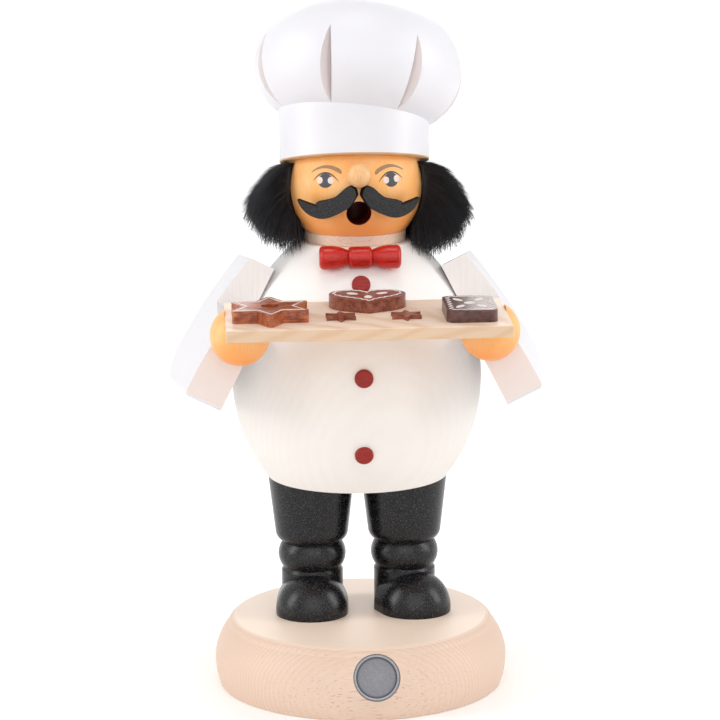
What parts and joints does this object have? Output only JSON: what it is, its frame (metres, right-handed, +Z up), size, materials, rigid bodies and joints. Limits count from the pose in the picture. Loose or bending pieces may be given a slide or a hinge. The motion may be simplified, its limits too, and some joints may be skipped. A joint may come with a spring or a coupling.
{
  "type": "incense smoker",
  "caption": "Turned wooden incense smoker shaped as a round pastry cook with a tray of gingerbread; the figure lifts off its plug to set a cone and smoke leaves by the mouth.",
  "frame": {"origin": "centre of the plinth's flat underside", "axes": "+Z up, the cook faces -Y, the cook's right hand is at -X"},
  "size_m": [0.1382, 0.1318, 0.2524],
  "materials": {
    "beech": "oiled",
    "pine": "raw",
    "pewter": "brushed",
    "black_stain": "satin stain",
    "white_lacquer": "satin lacquer",
    "white_wash": "matt whitewash",
    "red_stain": "satin stain",
    "skin_stain": "satin stain",
    "pale_skin": "satin stain",
    "plush": "pile",
    "gingerbread_stain": "satin stain",
    "brass": "pressed"
  },
  "bodies": {
    "stand": {"base_plinth": "beech", "base_badge": "pewter", "leg_right": "black_stain", "leg_left": "black_stain", "toe_right": "black_stain", "toe_left": "black_stain", "foot_dowels": "beech", "hip_dowels": "beech", "waist_plug": "beech", "ember_plate": "brass", "ember_brads": "brass"},
    "figure": {"body_shell": "white_wash", "bow_tie": "red_stain", "coat_button_bottom": "red_stain", "coat_button_middle": "red_stain", "coat_button_top": "red_stain", "collar_ring": "beech", "crown_dowel": "beech", "gingerbread_heart": "gingerbread_stain", "gingerbread_slab": "gingerbread_stain", "gingerbread_star": "gingerbread_stain", "hair": "plush", "hand_left": "skin_stain", "hand_right": "skin_stain", "hat_band": "white_lacquer", "hat_crown": "white_lacquer", "hat_dowel": "beech", "head": "skin_stain", "mini_star_left": "gingerbread_stain", "mini_star_right": "gingerbread_stain", "moustache_left": "black_stain", "moustache_right": "black_stain", "nose": "pale_skin", "shoulder_dowels": "beech", "sleeve_left": "white_wash", "sleeve_right": "white_wash", "tray_board": "pine"}
  },
  "joints": [
    {"name": "figure_lift", "type": "slide", "parent": "stand", "child": "figure", "axis": [0, 0, 1], "range_m": [0, 0.06]}
  ]
}
